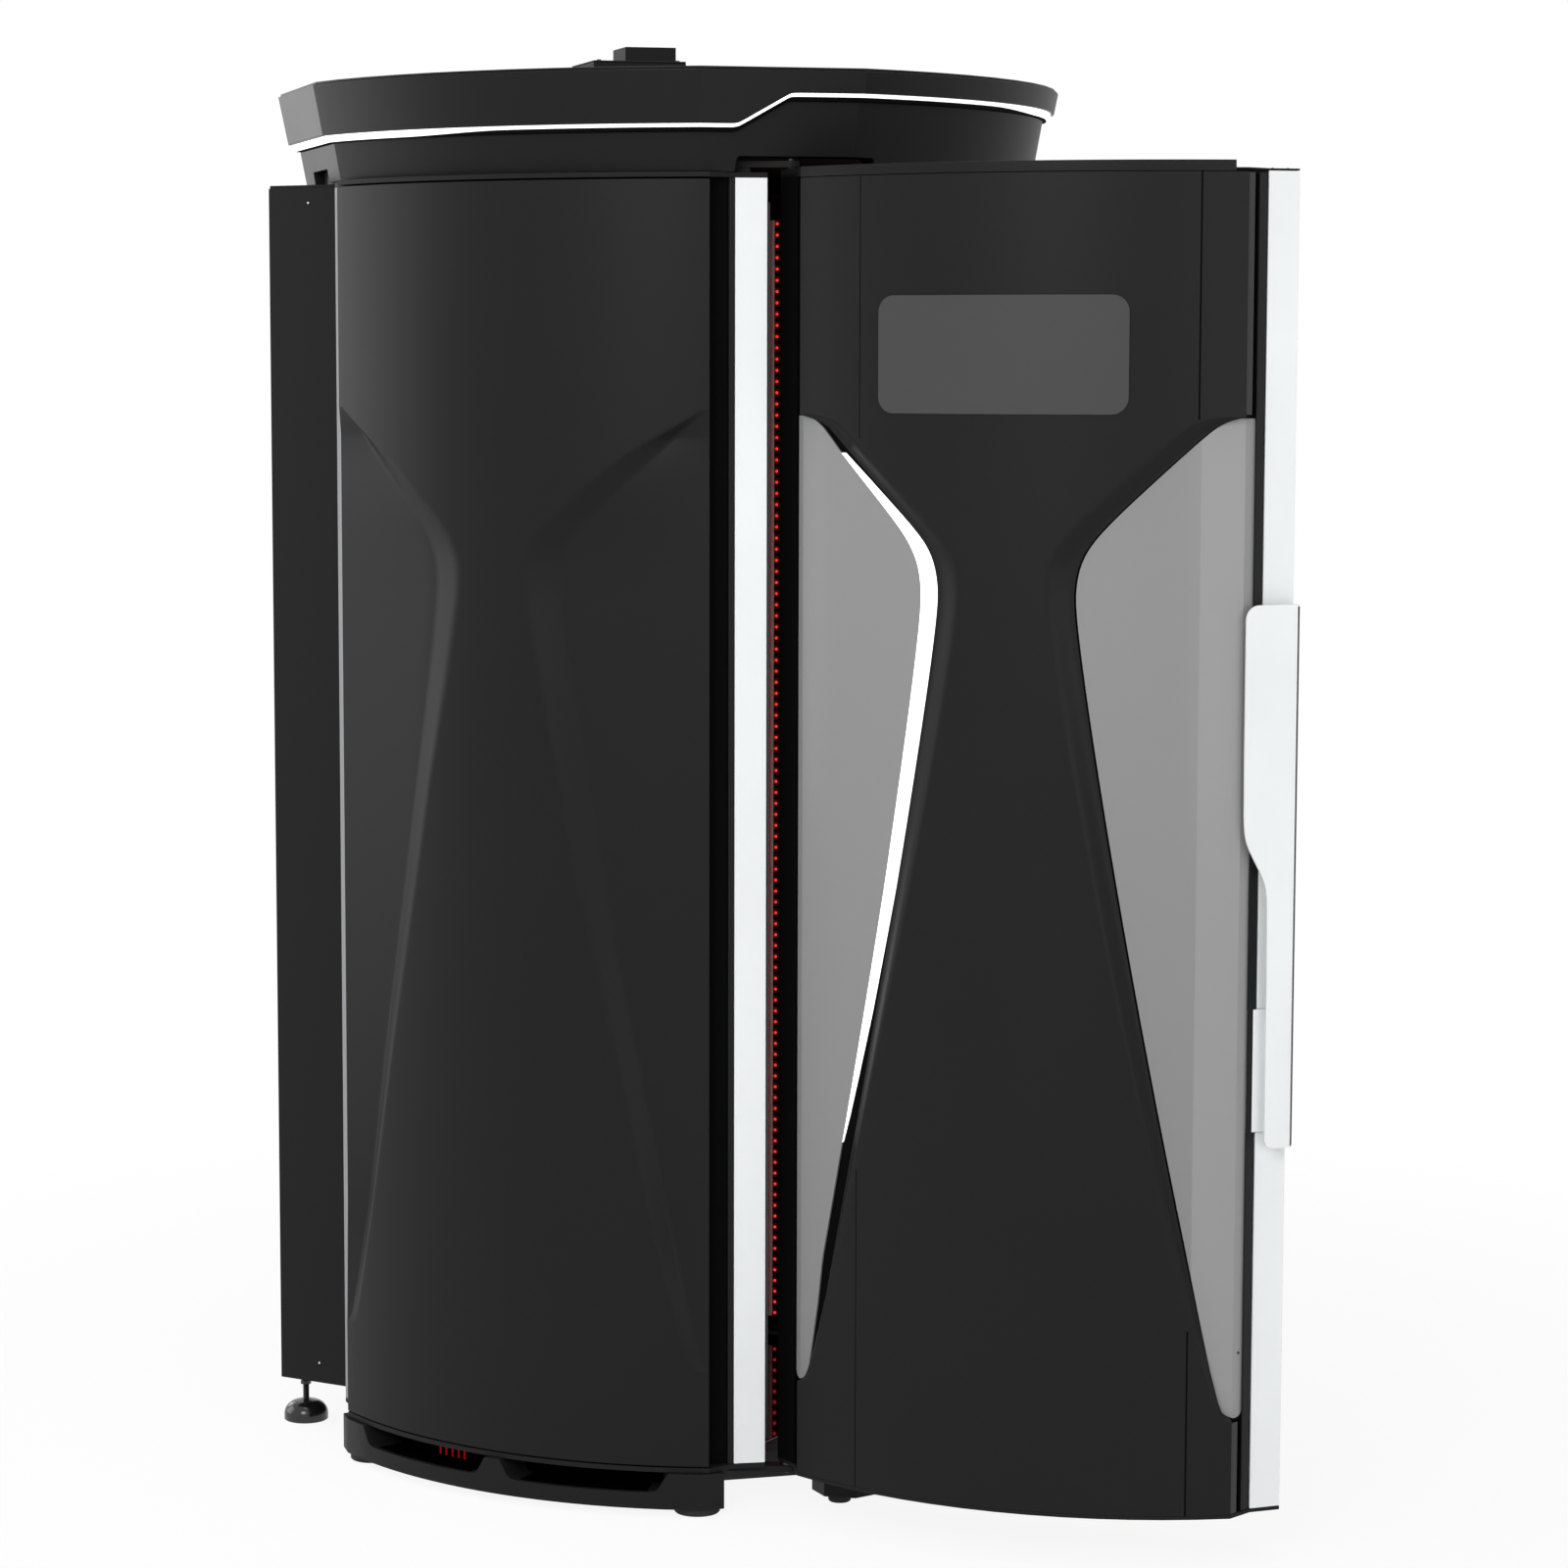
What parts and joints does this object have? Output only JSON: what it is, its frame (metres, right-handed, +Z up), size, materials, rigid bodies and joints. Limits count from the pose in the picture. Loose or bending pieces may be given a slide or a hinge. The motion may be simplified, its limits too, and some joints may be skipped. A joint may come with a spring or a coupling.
{
  "type": "red light therapy booth",
  "caption": "Stand-up light therapy booth with a curved fixed front, a curved hinged door with side windows, flat rear cabinets, LED-lined walls, vented plinths and a lit canopy.",
  "frame": {"origin": "on the floor, under the middle of the booth's square plan, at the foot of the centre support pad", "axes": "+Z up; -Y to the front corner between the fixed front and the door; +X to the door's side"},
  "size_m": [1.3704, 1.8843, 2.3747],
  "materials": {
    "satin_plastic": "satin black moulding",
    "painted_black": "matt black powder coat",
    "painted_alloy": "black powder coat on folded sheet",
    "black_plastic": "matt black",
    "white_coat": "white powder coat",
    "grey_acrylic": "grey tinted acrylic",
    "light_diffuser": "opal diffuser",
    "grey_panel": "plain grey sheet",
    "led_board": "board with red emitters",
    "alloy_sheet": "folded sheet",
    "bright_steel": "bright",
    "deck_board": "black faced board",
    "black_rubber": "matt"
  },
  "bodies": {
    "booth": {"canopy_cap": "satin_plastic", "canopy_light_ring": "light_diffuser", "canopy_skirt": "satin_plastic", "ceiling_panel": "black_plastic", "centre_pad": "black_rubber", "exhaust_duct": "alloy_sheet", "fan_housing": "alloy_sheet", "floor_deck": "deck_board", "floor_mat": "black_rubber", "hinge_bracket_bottom": "painted_black", "hinge_bracket_top": "painted_black", "hinge_pin_bottom": "bright_steel", "hinge_pin_top": "bright_steel", "hinge_spacer": "painted_black", "hinge_washer": "bright_steel", "left_base_plate": "painted_black", "left_chassis": "alloy_sheet", "left_corner_post": "black_plastic", "left_led_panel": "led_board", "left_plinth": "satin_plastic", "left_plinth_foot_far": "black_rubber", "left_plinth_foot_near": "black_rubber", "left_skin": "satin_plastic", "left_strip_front": "white_coat", "left_strip_rear": "white_coat", "left_top_plate": "painted_black", "power_inlet": "black_plastic", "rear_left_cabinet": "painted_alloy", "rear_left_end_plate": "painted_black", "rear_left_foot_front": "bright_steel", "rear_left_foot_rear": "bright_steel", "rear_left_led_driver": "alloy_sheet", "rear_left_led_panel": "led_board", "rear_post": "painted_alloy", "rear_right_cabinet": "painted_alloy", "rear_right_end_plate": "painted_black", "rear_right_foot_front": "bright_steel", "rear_right_foot_rear": "bright_steel", "rear_right_led_driver": "alloy_sheet", "rear_right_led_panel": "led_board", "right_jamb": "black_plastic", "right_plinth": "satin_plastic", "right_plinth_foot_far": "black_rubber", "right_plinth_foot_near": "black_rubber", "roof_panel": "satin_plastic"},
    "door": {"door_chassis": "alloy_sheet", "door_skin": "satin_plastic", "door_window_left": "grey_acrylic", "door_window_right": "grey_acrylic", "door_light_line": "light_diffuser", "door_panel": "grey_panel", "door_led_panel": "led_board", "door_strip": "white_coat", "door_hinge_stile": "painted_black", "door_top_plate": "painted_black", "door_bottom_plate": "painted_black", "door_handle": "white_coat", "handle_bracket_lower": "white_coat", "handle_bracket_upper": "white_coat"},
    "fan": {"exhaust_fan": "black_plastic"}
  },
  "joints": [
    {"name": "door_hinge", "type": "hinge", "parent": "booth", "child": "door", "pos_m": [0.02623, -0.58569, 1.1], "axis": [0, 0, 1], "range_deg": [-20, 80]},
    {"name": "fan_spin", "type": "hinge", "parent": "booth", "child": "fan", "pos_m": [-0.084, 0.022, 2.317], "axis": [0, 0, 1], "continuous": true}
  ]
}
